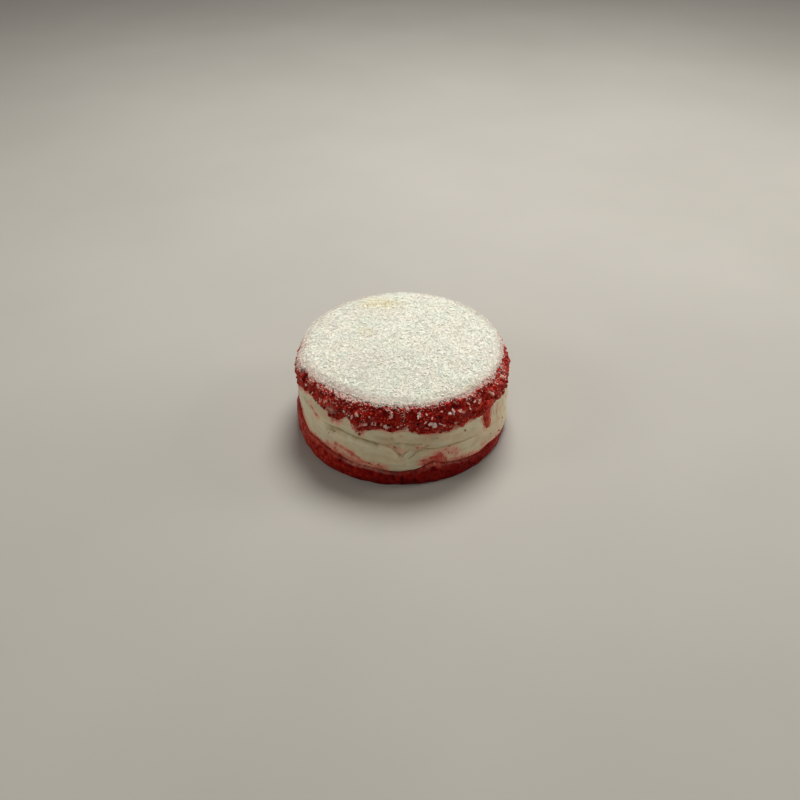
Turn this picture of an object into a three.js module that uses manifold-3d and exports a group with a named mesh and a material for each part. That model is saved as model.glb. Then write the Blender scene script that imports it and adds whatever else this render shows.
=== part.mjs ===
// A small ring-cut red velvet cake: two crumbly red sponge layers, a thick cream filling between
// them and a layer of fine grated coconut on top, with single coconut flakes on the red side.
// Millimetres, +Z up. The cake stands on z = 0, the side that shows best faces -Y, and angles
// round the cake are in degrees counterclockwise from +X.

import * as THREE from 'three';
import { mergeVertices } from 'three/addons/utils/BufferGeometryUtils.js';
import Module from 'manifold-3d';

const wasm = await Module();
wasm.setup();

// Driving dimensions
const FOOT_RADIUS = 60;
const CREAM_RADIUS = 58.5;
const UPPER_RADIUS = 58.5;
const COCONUT_RADIUS = 55.9;
const LOWER_TOP = 9.5;
const CREAM_TOP = 34.6;
const UPPER_TOP = 46.8;
const DOME = 1.4;
const COCONUT_DEPTH = 1.9;
const COCONUT_RIM = 1;
const GAP = 0.3;
const SEAM_TUCK = 1.2;
const STACK_SHIFT = 1.7;
const RIM_START = 54;
const SEGMENTS = 96;
const COCONUT_RINGS = 18;

const SPONGE_RED = 0x9a1013;
const UPPER_RED = 0xb01216;
const CREAM_IVORY = 0xe4d9bd;
const COCONUT_WHITE = 0xf1ecdd;

// Places where an edge rises or falls: angle of the middle, width, and height in millimetres
const LOWER_EDGE = [
  { at: -167, width: 15, rise: 6.5 },
  { at: -137, width: 13, rise: 1.9 },
  { at: -92, width: 9, rise: -2.4 },
  { at: -74, width: 5, rise: 3 },
  { at: -70, width: 35, rise: 0.8 },
  { at: -46, width: 11, rise: -3.4 },
  { at: -27, width: 9, rise: -2.4 },
  { at: -6, width: 14, rise: -5.8 },
  { at: 48, width: 20, rise: 1.6 },
  { at: 96, width: 14, rise: -1.8 },
  { at: 135, width: 12, rise: 1.8 },
];
const UPPER_EDGE = [
  { at: 178, width: 14, rise: -3.2 },
  { at: -142, width: 17, rise: 4.6 },
  { at: -126, width: 4, rise: -4 },
  { at: -118, width: 6, rise: 3.4 },
  { at: -111, width: 3.5, rise: -3.4 },
  { at: -101, width: 7, rise: 1.2 },
  { at: -88, width: 5, rise: 1.6 },
  { at: -68, width: 12, rise: -3.3 },
  { at: -50, width: 7, rise: -1.6 },
  { at: -35, width: 4, rise: 1.8 },
  { at: -22, width: 10, rise: -2 },
  { at: 32, width: 12, rise: -2.6 },
  { at: 62, width: 10, rise: 2.2 },
  { at: 95, width: 8, rise: -3 },
  { at: 128, width: 13, rise: 2 },
];

// Places where the foot, the upper sponge, its shoulder and the coconut's rim leave the round: angle
// of the middle, width, and millimetres outwards
const FOOT_OUTLINE = [
  { at: -162, width: 24, rise: -1.2 },
  { at: -60, width: 45, rise: 1.2 },
];
const UPPER_OUTLINE = [
  { at: 6, width: 16, rise: -1.5 },
  { at: 175, width: 14, rise: -1.2 },
];
const SHOULDER_OUTLINE = [
  { at: -167, width: 9, rise: 2.2 },
  { at: 35, width: 40, rise: -1.3 },
  { at: 178, width: 22, rise: -0.6 },
];
const COCONUT_OUTLINE = [
  { at: -168, width: 12, rise: 1.6 },
  { at: -125, width: 20, rise: -3.4 },
  { at: -72, width: 30, rise: -1.8 },
  { at: -38, width: 20, rise: -1 },
  { at: 78, width: 24, rise: 1.4 },
];

// The fold that parts the cream into two bands slopes down to the right and dips once in front
const FOLD_HEIGHT = 25.9;
const FOLD_SLOPE = 6.4;
const FOLD_DIP = { at: -90, width: 3.4, rise: -5 };

const FOLD_LIP = 1.2;
const FOLD_GROOVE = 1;

// Bumps that roughen the surfaces: their size and their depth
const EDGE_RIPPLE = { size: 6, depth: 0.5 };
const LOWER_CRAGS = { size: 4.5, depth: 0.5 };
const LOWER_WAVES = { size: 14, depth: 0.4 };
const UPPER_CRAGS = { size: 4.6, depth: 0.95 };
const UPPER_WAVES = { size: 12, depth: 0.35 };
const CREAM_RIPPLE = { size: 5, depth: 0.3 };
const CREAM_SWELL = { size: 13, depth: 0.7 };
const COCONUT_FRAY = { size: 5, depth: 0.7 };
const COCONUT_HEAPS = { size: 3.1, depth: 0.42 };
const COCONUT_DRIFT = { size: 17, depth: 0.35 };

// The wet tongue of crumb that hangs over the cream from the upper sponge
const TONGUE = { at: -41.2, top: 36.5, bottom: 22.4, width: 5.2, depth: 1.8, lean: -4.5 };

// The larger coconut flakes that stick to the red side in front: angle, height, length, width, tilt
const FRONT_FLAKES = [
  [-131, 43, 3, 2, 27],
  [-114.5, 40.7, 3.6, 1.4, 65],
  [-111.6, 43, 3.2, 2, -50],
  [-105.8, 39, 4.2, 2.2, 18],
  [-96.7, 38.6, 3, 2.2, -34],
  [-94.4, 43.6, 3.4, 1.5, 97],
  [-86.4, 37.4, 3, 1.4, 98],
  [-80.7, 43.4, 3.8, 1.5, 82],
  [-74.4, 38.8, 4.9, 2.6, -22],
  [-68.7, 37.4, 3, 1.4, -48],
  [-63.8, 42.6, 3.8, 1.6, 97],
  [-58.6, 41.6, 4.4, 2, -35],
  [-48.6, 43, 3, 2.2, -10],
  [-38.8, 42.8, 3.8, 1.8, 116],
  [-31.8, 43.4, 4, 1.5, -55],
  [-24.1, 43, 3.8, 1.6, -43],
];

// Flakes by a rule on the rest of the red side, and longer shreds on top
const SIDE_FLAKES = 28;
const SIDE_FLAKES_START = -14;
const SIDE_FLAKES_TURN = 228;
const TOP_SHREDS = 38;
const FLAKE_LENGTH = [2.2, 4.2];
const FLAKE_HALF_DEPTH = 0.7;
const SHRED_LENGTH = [2, 4.2];
const SHRED_RADIUS = 0.45;

const GOLDEN_TURN = 137.50776;
const GOLDEN_RATIO = 0.61803399;

function radians(degrees) {
  return (degrees * Math.PI) / 180;
}

function clamp(value, low, high) {
  return Math.min(Math.max(value, low), high);
}

function blend(from, to, share) {
  return from + (to - from) * share;
}

function smooth(start, end, value) {
  const share = clamp((value - start) / (end - start), 0, 1);
  return share * share * (3 - 2 * share);
}

// Signed angle from one direction to another, between -180 and 180
function turn(from, to) {
  return ((((to - from) % 360) + 540) % 360) - 180;
}

function hill(feature, azimuth) {
  const reach = turn(feature.at, azimuth) / feature.width;
  return feature.rise * Math.exp(-reach * reach);
}

function hills(features, azimuth) {
  return features.reduce((sum, feature) => sum + hill(feature, azimuth), 0);
}

// A repeatable number between 0 and 1 for each point of a whole-number lattice
function scatter(i, j, k) {
  const wave = Math.sin(i * 127.1 + j * 311.7 + k * 74.7) * 43758.5453;
  return wave - Math.floor(wave);
}

// Smooth bumps between -1 and 1, one bump in each unit of space
function bumps(x, y, z) {
  const i = Math.floor(x);
  const j = Math.floor(y);
  const k = Math.floor(z);
  const u = smooth(0, 1, x - i);
  const v = smooth(0, 1, y - j);
  const w = smooth(0, 1, z - k);
  const row = (dj, dk) => blend(scatter(i, j + dj, k + dk), scatter(i + 1, j + dj, k + dk), u);
  const sheet = (dk) => blend(row(0, dk), row(1, dk), v);
  return blend(sheet(0), sheet(1), w) * 2 - 1;
}

// Bumps on the wall of the cake, at an angle and a height
function wallBumps(azimuth, height, { size, depth }) {
  const x = (FOOT_RADIUS * Math.cos(radians(azimuth))) / size;
  const y = (FOOT_RADIUS * Math.sin(radians(azimuth))) / size;
  return depth * bumps(x + 31.7, y + 11.3, height / size + 5.1);
}

function around(radius, azimuth, height) {
  const angle = radians(azimuth);
  return new THREE.Vector3(radius * Math.cos(angle), radius * Math.sin(angle), height);
}

// The layers above the lower sponge sit a little towards +X
function shifted(azimuth, share = 1) {
  return STACK_SHIFT * share * Math.cos(radians(azimuth));
}

// The heights where the layers meet at the rim. Further in than RIM_START the seams are flat.
function lowerEdge(azimuth) {
  return LOWER_TOP + hills(LOWER_EDGE, azimuth) + wallBumps(azimuth, LOWER_TOP, EDGE_RIPPLE);
}

function upperEdge(azimuth) {
  return CREAM_TOP + hills(UPPER_EDGE, azimuth) + wallBumps(azimuth, CREAM_TOP, EDGE_RIPPLE);
}

// A solid of revolution whose stations give the point at each angle, from the axis below to the
// axis above
function turnedBody(stations) {
  const outline = stations.map((station) => {
    const point = station(0);
    return new THREE.Vector2(Math.hypot(point.x, point.y), point.z);
  });
  const geometry = new THREE.LatheGeometry(outline, SEGMENTS);
  const position = geometry.attributes.position;
  for (let i = 0; i < position.count; i += 1) {
    const segment = Math.floor(i / stations.length) % SEGMENTS;
    const point = stations[i % stations.length]((segment * 360) / SEGMENTS);
    position.setXYZ(i, point.x, point.y, point.z);
  }
  return closed(geometry);
}

// Shared corners merged, and triangles that closed up on the axis left out
function closed(geometry) {
  geometry.deleteAttribute('normal');
  geometry.deleteAttribute('uv');
  const merged = mergeVertices(geometry, 1e-4);
  const corners = merged.index.array;
  const kept = [];
  for (let i = 0; i < corners.length; i += 3) {
    const [a, b, c] = [corners[i], corners[i + 1], corners[i + 2]];
    if (a !== b && b !== c && c !== a) {
      kept.push(a, b, c);
    }
  }
  merged.setIndex(kept);
  return merged;
}

function toManifold(geometry) {
  const vertProperties = new Float32Array(geometry.attributes.position.array);
  const triVerts = new Uint32Array(geometry.index.array);
  return new wasm.Manifold(new wasm.Mesh({ numProp: 3, vertProperties, triVerts }));
}

function fromManifold(solid) {
  const mesh = solid.getMesh();
  const geometry = new THREE.BufferGeometry();
  geometry.setAttribute('position', new THREE.BufferAttribute(mesh.vertProperties, 3));
  geometry.setIndex(new THREE.BufferAttribute(mesh.triVerts, 1));
  return geometry;
}

// The largest body of a solid, without any scrap that joining or cutting left loose
function largestBody(solid) {
  const parts = solid.decompose();
  parts.sort((a, b) => b.volume() - a.volume());
  return fromManifold(parts[0]);
}

function fused(geometry, grains) {
  const addGrain = (solid, grain) => solid.add(toManifold(closed(grain)));
  return largestBody(grains.reduce(addGrain, toManifold(geometry)));
}

// Cuts a neighbour out of a body, with the neighbour moved up or down by the gap between them
function cutBy(geometry, neighbour, lift) {
  const cutter = neighbour.clone().translate(0, 0, lift);
  return largestBody(toManifold(geometry).subtract(toManifold(cutter)));
}

function lowerSpongeRadius(azimuth, height) {
  const undercut = 0.4 * (1 - smooth(0, 2, height));
  const crags = wallBumps(azimuth, height, LOWER_CRAGS) + wallBumps(azimuth, height, LOWER_WAVES);
  return FOOT_RADIUS - undercut + hills(FOOT_OUTLINE, azimuth) + crags;
}

function lowerSponge() {
  const side = (share) => (azimuth) => {
    const height = blend(0.9, lowerEdge(azimuth) - 0.8, share);
    return around(lowerSpongeRadius(azimuth, height), azimuth, height);
  };
  return turnedBody([
    () => around(0, 0, 0),
    (azimuth) => around(lowerSpongeRadius(azimuth, 0), azimuth, 0),
    ...[0, 0.25, 0.5, 0.75, 1].map(side),
    (azimuth) => around(lowerSpongeRadius(azimuth, lowerEdge(azimuth)) - 1, azimuth, lowerEdge(azimuth)),
    (azimuth) => around(RIM_START, azimuth, LOWER_TOP),
    () => around(0, 0, LOWER_TOP),
  ]);
}

function foldHeight(azimuth) {
  return FOLD_HEIGHT - FOLD_SLOPE * Math.cos(radians(azimuth)) + hill(FOLD_DIP, azimuth);
}

// The fold is deepest in front and fades towards the back
function foldStrength(azimuth) {
  return 0.35 + 0.65 * (1 - smooth(30, 75, Math.abs(turn(-100, azimuth))));
}

function creamRadius(azimuth, height) {
  const fold = foldHeight(azimuth);
  const strength = foldStrength(azimuth);
  const belly = 0.7 * Math.sin(Math.PI * clamp((height - LOWER_TOP) / (CREAM_TOP - LOWER_TOP), 0, 1));
  const overhang = smooth(fold - 0.8, fold + 0.9, height) * (1 - smooth(fold + 2, fold + 8, height));
  const groove = Math.exp(-(((height - fold + 0.6) / 0.9) ** 2));
  const relief = strength * (FOLD_LIP * overhang - FOLD_GROOVE * groove);
  const skirt = hill({ at: -6, width: 17, rise: 1.5 }, azimuth) * (1 - smooth(6, 20, height));
  const bed = -0.7 * Math.exp(-((turn(TONGUE.at, azimuth) / 5) ** 2)) * smooth(18, 22, height);
  const swell = wallBumps(azimuth, height, CREAM_SWELL) + wallBumps(azimuth, height, CREAM_RIPPLE);
  return CREAM_RADIUS + shifted(azimuth) + belly + relief + skirt + bed + swell;
}

// The cream reaches a little into both sponges, which are then cut out of it
function creamFilling(lowerNeighbour, upperNeighbour) {
  const foot = (azimuth) => {
    const edge = lowerEdge(azimuth);
    return Math.min(creamRadius(azimuth, edge), lowerSpongeRadius(azimuth, edge)) - SEAM_TUCK;
  };
  const shoulder = (azimuth) => {
    const edge = upperEdge(azimuth);
    return Math.min(creamRadius(azimuth, edge), upperSpongeRadius(azimuth, edge) - 1);
  };
  const point = (azimuth, height) => around(creamRadius(azimuth, height), azimuth, height);
  const lowerBand = (share) => (azimuth) => {
    return point(azimuth, blend(lowerEdge(azimuth) + 0.5, foldHeight(azimuth) - 2, share));
  };
  const upperBand = (share) => (azimuth) => {
    return point(azimuth, blend(foldHeight(azimuth) + 0.8, upperEdge(azimuth) - 1.6, share));
  };
  const body = turnedBody([
    () => around(0, 0, LOWER_TOP - SEAM_TUCK),
    (azimuth) => around(RIM_START, azimuth, LOWER_TOP - SEAM_TUCK),
    (azimuth) => around(foot(azimuth), azimuth, lowerEdge(azimuth) - 0.4),
    ...[0, 0.25, 0.5, 0.75, 1].map(lowerBand),
    (azimuth) => point(azimuth, foldHeight(azimuth) - 0.6),
    ...[0, 0.5, 1].map(upperBand),
    (azimuth) => around(shoulder(azimuth), azimuth, upperEdge(azimuth) - 0.6),
    (azimuth) => around(shoulder(azimuth) - SEAM_TUCK, azimuth, upperEdge(azimuth) + 0.4),
    (azimuth) => around(RIM_START, azimuth, CREAM_TOP + SEAM_TUCK),
    () => around(0, 0, CREAM_TOP + SEAM_TUCK),
  ]);
  return cutBy(cutBy(body, lowerNeighbour, GAP), upperNeighbour, -GAP);
}

function upperSpongeRadius(azimuth, height) {
  const bulge = 0.6 * Math.sin(Math.PI * clamp((height - CREAM_TOP) / (UPPER_TOP - CREAM_TOP), 0, 1));
  const shoulderDrop = (2.1 - hills(SHOULDER_OUTLINE, azimuth)) * smooth(39, UPPER_TOP, height) ** 1.6;
  const outline = shifted(azimuth) + hills(UPPER_OUTLINE, azimuth) * smooth(37, 43, height);
  const crags = wallBumps(azimuth, height, UPPER_CRAGS) + wallBumps(azimuth, height, UPPER_WAVES);
  return UPPER_RADIUS + outline + bulge - shoulderDrop + crags;
}

// The upper sponge's top and the coconut above it share this slightly domed surface
function domeHeight(radius) {
  return UPPER_TOP + DOME * (1 - (radius / COCONUT_RADIUS) ** 2);
}

// Moves a shape modelled in the XY plane to the wall of the cake: its X runs round the cake, its Y
// upwards and its Z outwards
function onWall(geometry, radius, azimuth, height) {
  const along = around(1, azimuth + 90, 0);
  const outward = around(1, azimuth, 0);
  const upward = new THREE.Vector3(0, 0, 1);
  const place = new THREE.Matrix4().makeBasis(along, upward, outward);
  return geometry.applyMatrix4(place.setPosition(around(radius, azimuth, height)));
}

// A flake lying on the red side, partly sunk in and turned in the wall's own plane
function sideFlake(azimuth, height, length, width, tilt) {
  const flake = new THREE.IcosahedronGeometry(1, 0);
  flake.scale(length / 2, width / 2, FLAKE_HALF_DEPTH);
  flake.rotateX(radians(12 * Math.sin(tilt)));
  flake.rotateZ(radians(tilt));
  return onWall(flake, upperSpongeRadius(azimuth, height) + 0.15, azimuth, height);
}

function sideFlakes() {
  const flakes = FRONT_FLAKES.map((flake) => sideFlake(...flake));
  for (let i = 0; i < SIDE_FLAKES; i += 1) {
    const azimuth = SIDE_FLAKES_START + (SIDE_FLAKES_TURN * (i + 0.5)) / SIDE_FLAKES;
    const share = (i * GOLDEN_RATIO) % 1;
    const length = blend(...FLAKE_LENGTH, scatter(i, 3, 7));
    const width = length * (0.42 + 0.25 * scatter(i, 5, 2));
    const lowest = upperEdge(azimuth) + length / 2 + 1.2;
    const height = blend(lowest, UPPER_TOP - 3.2, share ** 0.8);
    flakes.push(sideFlake(azimuth, height, length, width, 180 * scatter(i, 9, 4)));
  }
  return flakes;
}

// The tongue leans outwards so that it lies in front of the cream
function tongue() {
  const length = TONGUE.top - TONGUE.bottom;
  const middle = (TONGUE.top + TONGUE.bottom) / 2;
  const body = new THREE.CapsuleGeometry(TONGUE.width / 2, length - TONGUE.width, 3, 8);
  body.scale(1, 1, TONGUE.depth / TONGUE.width);
  body.rotateX(radians(TONGUE.lean));
  return onWall(body, creamRadius(TONGUE.at, middle) + TONGUE.depth / 2 + 0.5, TONGUE.at, middle);
}

function upperSponge() {
  const side = (share) => (azimuth) => {
    const height = blend(upperEdge(azimuth) + 0.9, UPPER_TOP - 0.5, share);
    return around(upperSpongeRadius(azimuth, height), azimuth, height);
  };
  const body = turnedBody([
    () => around(0, 0, CREAM_TOP),
    (azimuth) => around(RIM_START, azimuth, CREAM_TOP),
    (azimuth) => around(upperSpongeRadius(azimuth, upperEdge(azimuth)) - 0.6, azimuth, upperEdge(azimuth)),
    ...[0, 0.2, 0.4, 0.6, 0.8, 1].map(side),
    (azimuth) => around(COCONUT_RADIUS - 0.8, azimuth, domeHeight(COCONUT_RADIUS - 0.8)),
    (azimuth) => around(COCONUT_RADIUS * 0.6, azimuth, domeHeight(COCONUT_RADIUS * 0.6)),
    () => around(0, 0, domeHeight(0)),
  ]);
  return fused(body, [...sideFlakes(), tongue()]);
}

function coconutRim(azimuth) {
  const frayed = wallBumps(azimuth, UPPER_TOP, COCONUT_FRAY);
  return COCONUT_RADIUS - 0.6 + shifted(azimuth, 0.6) + hills(COCONUT_OUTLINE, azimuth) + frayed;
}

function topBumps(spot, { size, depth }) {
  return depth * bumps(spot.x / size + 8.2, spot.y / size + 3.3, 0.5);
}

// The grated coconut lies in small heaps, thinner towards its frayed rim
function coconutTop(azimuth, share) {
  const radius = coconutRim(azimuth) * share;
  const spot = around(radius, azimuth, 0);
  const rimThinning = smooth(1, 0.95, share);
  const heaps = topBumps(spot, COCONUT_HEAPS) + topBumps(spot, COCONUT_DRIFT);
  const depth = blend(COCONUT_RIM, COCONUT_DEPTH, rimThinning) + heaps * blend(0.3, 1, rimThinning);
  spot.z = domeHeight(radius) + GAP + depth;
  return spot;
}

// A disc of triangles of one size: ring k has six times k corners
function coconutLayer() {
  const points = [around(0, 0, 0).setZ(coconutTop(0, 0).z)];
  const faces = [];
  const first = (ring) => (ring === 0 ? 0 : 1 + 3 * ring * (ring - 1));
  const corner = (ring, step) => (ring === 0 ? 0 : first(ring) + (step % (6 * ring)));
  for (let ring = 1; ring <= COCONUT_RINGS; ring += 1) {
    for (let step = 0; step < 6 * ring; step += 1) {
      points.push(coconutTop((step * 60) / ring, ring / COCONUT_RINGS));
      const sector = Math.floor(step / ring);
      const inner = step - sector;
      faces.push(corner(ring, step), corner(ring, step + 1), corner(ring - 1, inner));
      if (step % ring !== ring - 1) {
        faces.push(corner(ring, step + 1), corner(ring - 1, inner + 1), corner(ring - 1, inner));
      }
    }
  }
  addUnderside(points, faces, first(COCONUT_RINGS), 6 * COCONUT_RINGS);
  const geometry = new THREE.BufferGeometry().setFromPoints(points);
  geometry.setIndex(faces);
  return fused(geometry, topShreds());
}

// The underside follows the sponge: a ring under the rim, one further in and the middle
function addUnderside(points, faces, rimStart, count) {
  const lowerStart = points.length;
  const innerStart = lowerStart + count;
  const middle = innerStart + count;
  for (const share of [1, 0.6]) {
    for (let step = 0; step < count; step += 1) {
      const azimuth = (step * 360) / count;
      const radius = coconutRim(azimuth) * share;
      points.push(around(radius, azimuth, domeHeight(radius) + GAP));
    }
  }
  points.push(around(0, 0, domeHeight(0) + GAP));
  for (let step = 0; step < count; step += 1) {
    const next = (step + 1) % count;
    faces.push(rimStart + step, lowerStart + step, lowerStart + next);
    faces.push(rimStart + step, lowerStart + next, rimStart + next);
    faces.push(lowerStart + step, innerStart + step, innerStart + next);
    faces.push(lowerStart + step, innerStart + next, lowerStart + next);
    faces.push(innerStart + step, middle, innerStart + next);
  }
}

function topShreds() {
  const shreds = [];
  for (let i = 0; i < TOP_SHREDS; i += 1) {
    const azimuth = i * GOLDEN_TURN;
    const share = 0.97 * Math.sqrt((i + 0.5) / TOP_SHREDS);
    const length = blend(...SHRED_LENGTH, scatter(i, 2, 6));
    const shred = new THREE.CylinderGeometry(SHRED_RADIUS, SHRED_RADIUS * 0.7, length, 4);
    shred.rotateZ(Math.PI / 2);
    shred.rotateY(radians(14 * (scatter(i, 8, 1) - 0.5)));
    shred.rotateZ(radians(180 * scatter(i, 4, 5)));
    const spot = coconutTop(azimuth, share);
    shreds.push(shred.translate(spot.x, spot.y, spot.z + 0.1));
  }
  return shreds;
}

function piece(name, geometry, color, roughness) {
  const material = new THREE.MeshStandardMaterial({ color, roughness, metalness: 0 });
  const mesh = new THREE.Mesh(geometry, material);
  mesh.name = name;
  return mesh;
}

const lower = lowerSponge();
const upper = upperSponge();
const cake = new THREE.Group();
cake.add(piece('lower_sponge', lower, SPONGE_RED, 0.85));
cake.add(piece('cream_filling', creamFilling(lower, upper), CREAM_IVORY, 0.5));
cake.add(piece('upper_sponge', upper, UPPER_RED, 0.9));
cake.add(piece('coconut_topping', coconutLayer(), COCONUT_WHITE, 0.95));

// The origin is under the middle of the cake, in the plane of its foot
const middle = new THREE.Box3().setFromObject(cake).getCenter(new THREE.Vector3());
cake.position.set(-middle.x, -middle.y, 0);

export default cake;
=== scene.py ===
from itertools import combinations

import bpy
import numpy as np
from mathutils import Matrix, Vector


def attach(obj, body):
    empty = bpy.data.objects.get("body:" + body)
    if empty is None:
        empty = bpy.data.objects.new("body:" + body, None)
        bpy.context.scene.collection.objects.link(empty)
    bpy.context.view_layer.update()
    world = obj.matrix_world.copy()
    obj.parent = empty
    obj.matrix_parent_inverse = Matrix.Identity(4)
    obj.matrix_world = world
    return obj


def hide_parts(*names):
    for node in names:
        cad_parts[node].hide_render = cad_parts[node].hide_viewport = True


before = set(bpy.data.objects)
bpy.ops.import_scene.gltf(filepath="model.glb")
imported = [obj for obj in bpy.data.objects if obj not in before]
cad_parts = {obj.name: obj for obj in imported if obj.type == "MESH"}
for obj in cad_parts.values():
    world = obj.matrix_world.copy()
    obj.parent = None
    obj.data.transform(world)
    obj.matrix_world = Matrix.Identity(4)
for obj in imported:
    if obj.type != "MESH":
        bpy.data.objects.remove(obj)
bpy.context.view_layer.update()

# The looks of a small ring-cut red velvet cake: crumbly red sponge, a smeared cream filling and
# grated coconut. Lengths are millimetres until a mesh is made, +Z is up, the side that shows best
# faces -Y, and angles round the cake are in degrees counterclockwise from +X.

# The size and form of the layers, as in the part's source
FOOT_RADIUS = 60
CREAM_RADIUS = 58.5
UPPER_RADIUS = 58.5
COCONUT_RADIUS = 55.9
LOWER_TOP = 9.5
CREAM_TOP = 34.6
UPPER_TOP = 46.8
DOME = 1.4
COCONUT_DEPTH = 1.9
COCONUT_RIM = 1
GAP = 0.3
STACK_SHIFT = 1.7
RIM_START = 54
FRAME_SHIFT = (-0.965, 0.43, 0)

LOWER_EDGE = [
    (-167, 15, 6.5), (-137, 13, 1.9), (-92, 9, -2.4), (-74, 5, 3), (-70, 35, 0.8), (-46, 11, -3.4),
    (-27, 9, -2.4), (-6, 14, -5.8), (48, 20, 1.6), (96, 14, -1.8), (135, 12, 1.8),
]
UPPER_EDGE = [
    (178, 14, -3.2), (-142, 17, 4.6), (-126, 4, -4), (-118, 6, 3.4), (-111, 3.5, -3.4), (-101, 7, 1.2),
    (-88, 5, 1.6), (-68, 12, -3.3), (-50, 7, -1.6), (-35, 4, 1.8), (-22, 10, -2), (32, 12, -2.6),
    (62, 10, 2.2), (95, 8, -3), (128, 13, 2),
]
FOLD_HEIGHT = 25.9
FOLD_SLOPE = 6.4
FOLD_DIP = (-90, 3.4, -5)
FOOT_OUTLINE = [(-162, 24, -1.2), (-60, 45, 1.2)]
UPPER_OUTLINE = [(6, 16, -1.5), (175, 14, -1.2)]
SHOULDER_OUTLINE = [(-167, 9, 2.2), (35, 40, -1.3), (178, 22, -0.6)]
COCONUT_OUTLINE = [(-168, 12, 1.6), (-125, 20, -3.4), (-72, 30, -1.8), (-38, 20, -1), (78, 24, 1.4)]
SKIRT = (-6, 17, 1.5)
TONGUE_AT = -41.2
TONGUE_TOP = 38.5
TONGUE_BOTTOM = 22.4
TONGUE_WIDTH = 5.2
TONGUE_DEPTH = 1.9

# Bumps shared with the part's source, and the finer ones that only show here: size and depth
EDGE_RIPPLE = (6, 0.5)
LOWER_CRAGS = (4.5, 0.5)
LOWER_WAVES = (14, 0.4)
UPPER_CRAGS = (4.6, 0.95)
UPPER_WAVES = (12, 0.35)
CREAM_RIPPLE = (5, 0.3)
CREAM_SWELL = (13, 0.7)
COCONUT_FRAY = (5, 0.7)
COCONUT_HEAPS = (3.1, 0.42)
COCONUT_DRIFT = (17, 0.35)
HEAPS_FILLED = 0.6
FINE_EDGE = (2.1, 0.45)
FINEST_EDGE = (0.9, 0.25)
BUMPS_START = (31.7, 11.3, 5.1)

# The grid of the turned bodies: points round the cake and rows up each side
AROUND = 1080
LOWER_ROWS = 34
CREAM_ROWS = 76
UPPER_ROWS = 40
BED_RINGS = 120

# How many of each small thing are made, or are tried before some are left out
CRUMBS = 1900
CREAM_CRUMB_TRIES = 26000
GRAINS = 24500
SHREDS = 420
SPILL_TRIES = 40000
DUST = 2200
RULED_FLAKES = 110

# Flakes that show on the red side: angle, height, length, width, tilt and how white they are
SHOWN_FLAKES = [
    (-112, 43, 3.3, 2.1, -50, 0.55), (-108, 38.7, 4.1, 2.3, 25, 0.5), (-103.5, 39.5, 2.6, 2, 10, 0.4),
    (-96.7, 38.4, 3.1, 2.2, -34, 0.55), (-94.4, 44.4, 3.8, 1.5, 97, 0.6),
    (-86.4, 36.9, 3, 1.2, 98, 0.75), (-80.7, 44.3, 4.2, 1.5, 82, 0.7), (-77.7, 41.1, 2.9, 0.8, 44, 0.6),
    (-74.4, 38.8, 4.9, 2.7, -22, 1), (-74.5, 42.5, 1.8, 1, 19, 0.6), (-70.7, 38.8, 2, 0.9, -36, 0.5),
    (-68.7, 37, 3.1, 1.1, -48, 0.35), (-65.3, 42.7, 2.1, 2, 4, 0.95), (-63.2, 42.9, 4.2, 1, 97, 0.95),
    (-58.9, 42.1, 4.6, 2.2, -35, 0.4), (-54.5, 44.4, 2.8, 0.8, -57, 0.5),
    (-54.2, 41.8, 2.2, 1, -51, 0.5), (-47.6, 43, 2.6, 2.4, -2, 0.55), (-50.7, 44.4, 2.6, 1.4, -27, 0.5),
    (-38.8, 43.2, 4.4, 1.9, 116, 0.5), (-31.8, 44, 4.6, 1.5, -58, 0.6), (-24.1, 43.6, 4, 1.6, -43, 0.6),
    (-130.9, 43.6, 3, 2.2, 27, 0.35), (-133.8, 42.6, 2.3, 1.1, 90, 0.3),
    (-114.5, 40.7, 3.5, 1.1, 65, 0.6), (-91, 38.7, 2.1, 1.4, 25, 0.5),
    (-105.4, 42.8, 1.5, 1.2, 12, 0.45), (-68.9, 44.6, 1.7, 0.9, 42, 0.5),
    (-77.1, 44.3, 1.6, 1.2, -11, 0.6), (-59.5, 38.6, 1.2, 0.8, -23, 0.5),
]

# Where coconut has spilled over the rim: angle, width and how far out and down it reaches
SPILLS = [
    (-172, 9, 3), (-148, 12, 1.5), (-124, 12, 6), (-119, 6, 3), (-109, 2.5, 5), (-95, 2, 3),
    (-88.8, 2.6, 6), (-80.8, 1.6, 6), (-70, 4, 3), (-50, 6, 5), (-38, 5, 4.6), (-24, 6, 4), (12, 9, 3),
    (41, 5, 5), (72, 12, 5), (103, 6, 5), (131, 5, 3.6), (164, 12, 4),
]

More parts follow.
